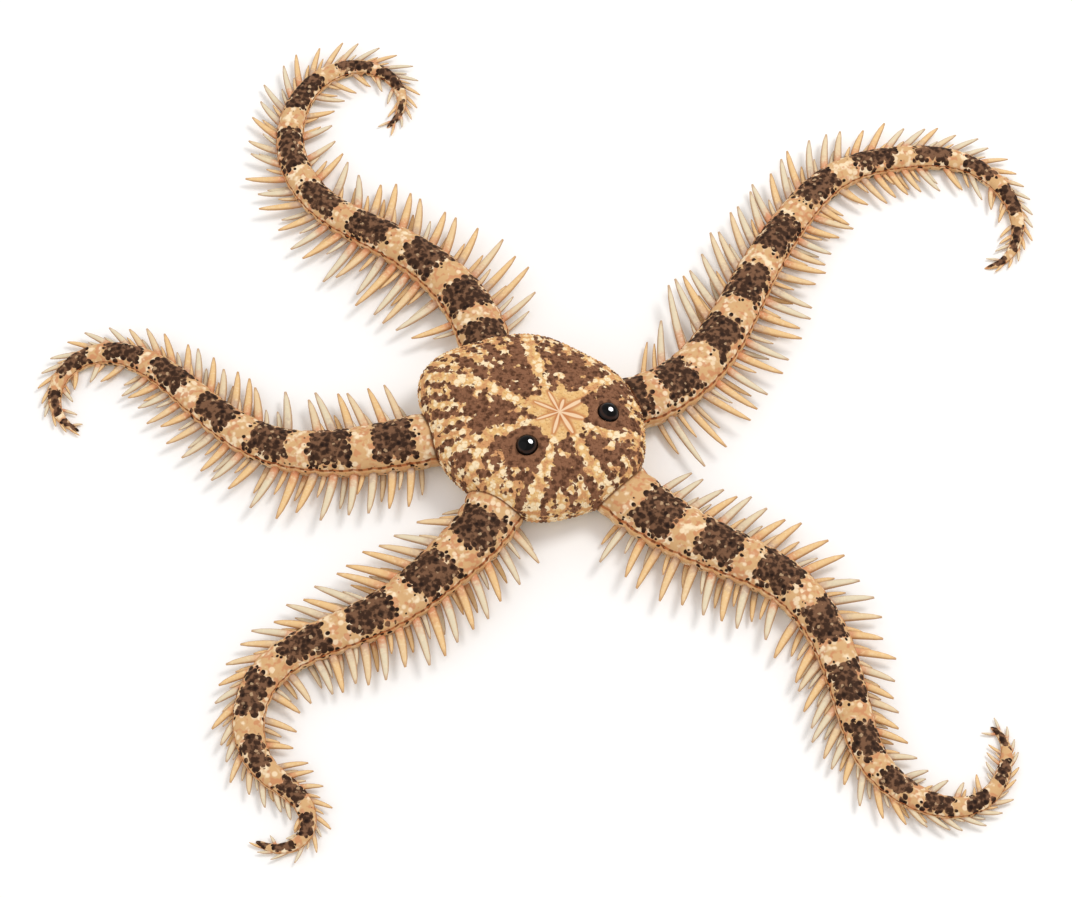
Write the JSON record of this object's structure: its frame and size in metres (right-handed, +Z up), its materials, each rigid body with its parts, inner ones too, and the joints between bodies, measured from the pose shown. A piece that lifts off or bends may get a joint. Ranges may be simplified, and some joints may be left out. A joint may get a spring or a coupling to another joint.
{
  "type": "brittle star",
  "caption": "Still life-size model of a banded brittle star: low domed disc with curled, tapering arms edged with spines, lying flat.",
  "frame": {"origin": "centre of the model's footprint on the floor it lies on", "axes": "+Z up out of the disc's upper side; +X towards the right-hand arms and +Y away from the viewer, as the picture shows it"},
  "size_m": [0.1294, 0.1196, 0.0101],
  "materials": {
    "skin": "satin granular skin, tan with dark brown bands and rays",
    "spine": "smooth satin, amber and cream",
    "eye": "polished black"
  },
  "bodies": {
    "root": {"disc": "skin", "eye_left": "eye", "eye_right": "eye", "arm_back_root": "skin", "arm_back_lower": "skin", "arm_back_middle": "skin", "arm_back_outer": "skin", "arm_back_tip": "skin", "arm_right_root": "skin", "arm_right_lower": "skin", "arm_right_middle": "skin", "arm_right_outer": "skin", "arm_right_tip": "skin", "arm_front_right_root": "skin", "arm_front_right_lower": "skin", "arm_front_right_middle": "skin", "arm_front_right_outer": "skin", "arm_front_right_tip": "skin", "arm_front_left_root": "skin", "arm_front_left_lower": "skin", "arm_front_left_middle": "skin", "arm_front_left_outer": "skin", "arm_front_left_tip": "skin", "arm_left_root": "skin", "arm_left_lower": "skin", "arm_left_middle": "skin", "arm_left_outer": "skin", "arm_left_tip": "skin"}
  },
  "joints": []
}
